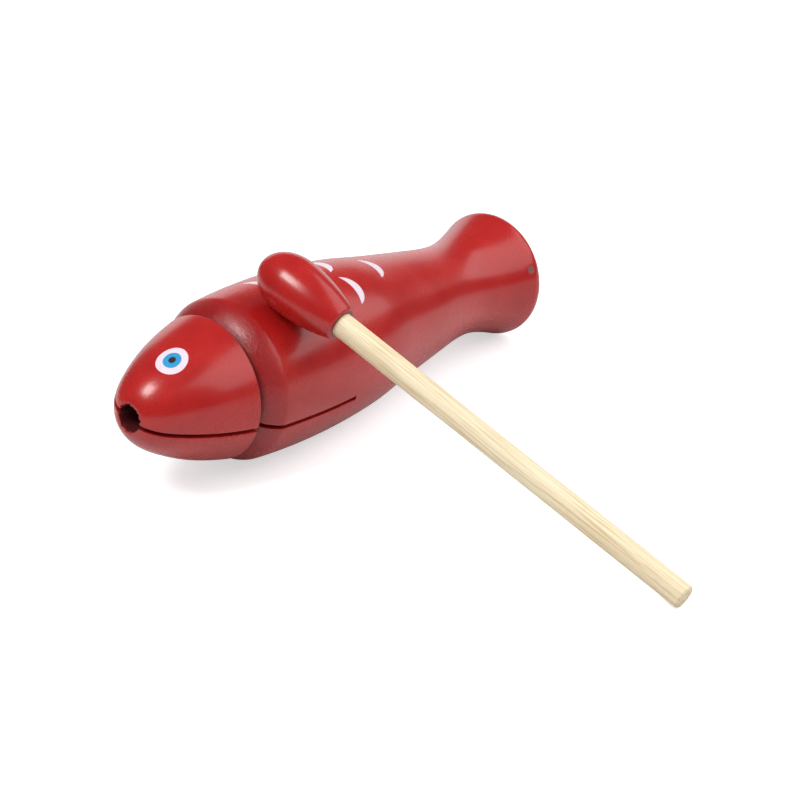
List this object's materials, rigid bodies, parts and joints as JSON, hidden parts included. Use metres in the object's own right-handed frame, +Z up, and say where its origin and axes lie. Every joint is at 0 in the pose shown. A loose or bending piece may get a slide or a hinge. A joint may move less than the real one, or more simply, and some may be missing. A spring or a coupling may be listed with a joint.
{
  "type": "guiro",
  "caption": "Turned wooden fish-shaped tone block, lacquered red, with a sound hole in the nose, a saw-cut mouth, printed eye and scale marks, and a round-headed beater leaning on its back.",
  "frame": {"origin": "centre of the part's bounding box in X and Y, on the floor it lies on", "axes": "+Z up; the fish's nose points to -X and its tail to +X; the beater's handle reaches out to -Y"},
  "size_m": [0.185, 0.1968, 0.073],
  "materials": {
    "red_lacquer": "satin-gloss red lacquer over turned wood",
    "bare_wood": "unfinished pale dowel, straight grain",
    "white_ink": "thin printed ink",
    "blue_ink": "thin printed ink",
    "black_ink": "thin printed ink"
  },
  "bodies": {
    "fish": {"fish_block": "red_lacquer", "eye_white_a": "white_ink", "eye_iris_a": "blue_ink", "eye_pupil_a": "black_ink", "eye_white_b": "white_ink", "eye_iris_b": "blue_ink", "eye_pupil_b": "black_ink", "scale_a1": "white_ink", "scale_a2": "white_ink", "scale_a3": "white_ink", "scale_a4": "white_ink", "scale_a5": "white_ink", "scale_a6": "white_ink", "scale_b1": "white_ink", "scale_b2": "white_ink", "scale_b3": "white_ink", "scale_b4": "white_ink", "scale_b5": "white_ink", "scale_b6": "white_ink"},
    "beater": {"beater_head": "red_lacquer", "beater_handle": "bare_wood"}
  },
  "joints": [
    {"name": "beater_lift", "type": "slide", "parent": "fish", "child": "beater", "axis": [0, 0, 1], "range_m": [0, 0.12]}
  ]
}
